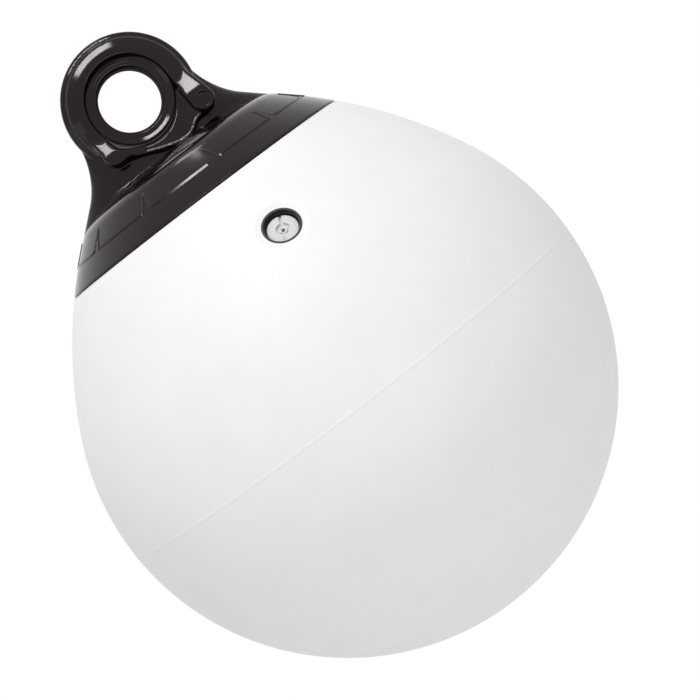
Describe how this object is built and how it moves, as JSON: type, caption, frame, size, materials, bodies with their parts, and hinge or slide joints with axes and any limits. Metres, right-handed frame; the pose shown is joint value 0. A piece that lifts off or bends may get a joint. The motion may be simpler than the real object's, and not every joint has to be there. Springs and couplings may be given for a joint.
{
  "type": "inflatable mooring buoy",
  "caption": "Round inflatable buoy of white vinyl with a black moulded rope eye over its neck and a slotted screw plug in its sunk air valve.",
  "frame": {"origin": "centre of the rope eye's hole, halfway through it", "axes": "+Z along the buoy's axis from the ball to the eye; Y along the hole; the valve is on the -Y side"},
  "size_m": [0.301, 0.301, 0.3868],
  "materials": {
    "white_vinyl": "soft satin vinyl with a fine grain",
    "black_vinyl": "moulded, semi-gloss",
    "valve_rubber": "satin",
    "seal_rubber": "satin",
    "white_nylon": "moulded, satin"
  },
  "bodies": {
    "buoy": {"air_bag": "white_vinyl", "rope_eye_cap": "black_vinyl", "valve_body": "valve_rubber"},
    "seal": {"valve_seal": "seal_rubber"},
    "plug": {"valve_plug": "white_nylon", "needle_core": "valve_rubber"}
  },
  "joints": [
    {"name": "plug_travel", "type": "slide", "parent": "buoy", "child": "seal", "axis": [0.1081, -0.8326, 0.5432], "range_m": [0, 0.008]},
    {"name": "plug_turn", "type": "hinge", "parent": "seal", "child": "plug", "pos_m": [0.01531, -0.11785, -0.10445], "axis": [0.1081, -0.8326, 0.5432], "range_deg": [0, 1925]}
  ],
  "couplings": [
    {"joint": "plug_turn", "follows": "plug_travel", "rad_per_m": 4188.8}
  ]
}
